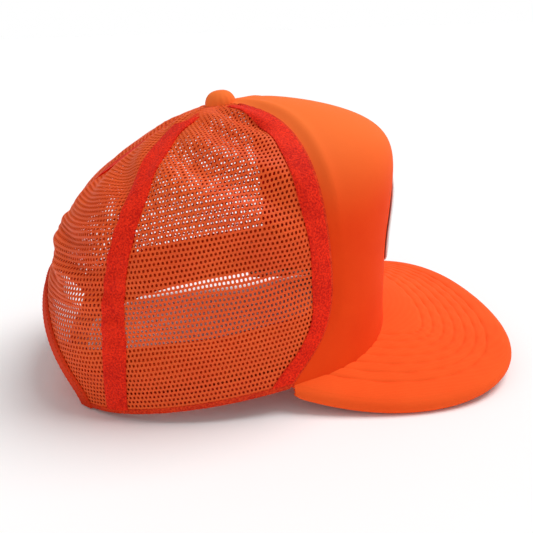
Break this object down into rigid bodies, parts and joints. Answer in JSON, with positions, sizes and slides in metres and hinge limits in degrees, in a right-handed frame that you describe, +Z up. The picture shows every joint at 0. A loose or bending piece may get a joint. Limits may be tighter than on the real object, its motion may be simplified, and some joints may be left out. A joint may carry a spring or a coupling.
{
  "type": "trucker mesh cap",
  "caption": "High-crown trucker cap with a foam front panel, mesh sides and back, a stitched visor, a covered top button and a plastic snap closure at the rear.",
  "frame": {"origin": "on the floor under the middle of the cap's box", "axes": "+X forward along the visor, +Y to the wearer's left, +Z up; the cap rests on its rear hem and the sides of its visor, tipped 6.9 degrees nose up"},
  "size_m": [0.2564, 0.196, 0.1458],
  "materials": {
    "front_knit": "brushed polyester knit, fluorescent orange",
    "foam": "open-cell foam",
    "sweatband": "cotton twill sweatband",
    "binding": "folded woven tape",
    "visor_board": "polyethylene visor board",
    "visor_knit": "foam-backed knit, seven stitched rows",
    "visor_lining": "plain woven lining",
    "patch": "blank twill patch",
    "patch_rim": "satin-stitched rim",
    "button_shell": "pressed steel",
    "button_cloth": "cloth over the button",
    "button_steel": "steel rivet",
    "strap": "moulded flexible plastic",
    "mesh": "knitted polyester mesh",
    "seam_tape": "woven seam tape",
    "hem_tape": "turned-in mesh hem"
  },
  "bodies": {
    "cap": {"front_panel_cover": "front_knit", "front_panel_foam": "foam", "side_mesh_right": "mesh", "side_mesh_left": "mesh", "rear_mesh_right": "mesh", "rear_mesh_left": "mesh", "front_seam_tape_right": "seam_tape", "front_seam_tape_left": "seam_tape", "side_seam_tape_right": "seam_tape", "side_seam_tape_left": "seam_tape", "rear_seam_tape": "seam_tape", "sweatband": "sweatband", "hem_tape_right": "hem_tape", "hem_tape_left": "hem_tape", "rear_arch_binding": "binding", "visor_board": "visor_board", "visor_top_cover": "visor_knit", "visor_under_cover": "visor_lining", "front_patch": "patch", "front_patch_rim": "patch_rim", "button_shell": "button_shell", "button_cover": "button_cloth", "button_stud": "button_steel", "hole_strap_tab": "strap", "peg_strap_tab": "strap"},
    "hole_strap": {"hole_strap": "strap"},
    "peg_strap": {"peg_strap": "strap"}
  },
  "joints": [
    {"name": "hole_strap_swing", "type": "hinge", "parent": "cap", "child": "hole_strap", "pos_m": [-0.11047, -0.049, 0.01158], "axis": [-0.1201, 0, 0.9928], "range_deg": [0, 70], "stiffness_Nm_per_rad": 0.01},
    {"name": "peg_strap_swing", "type": "hinge", "parent": "cap", "child": "peg_strap", "pos_m": [-0.11047, 0.049, 0.01158], "axis": [-0.1201, 0, 0.9928], "range_deg": [0, 30], "stiffness_Nm_per_rad": 0.01}
  ]
}
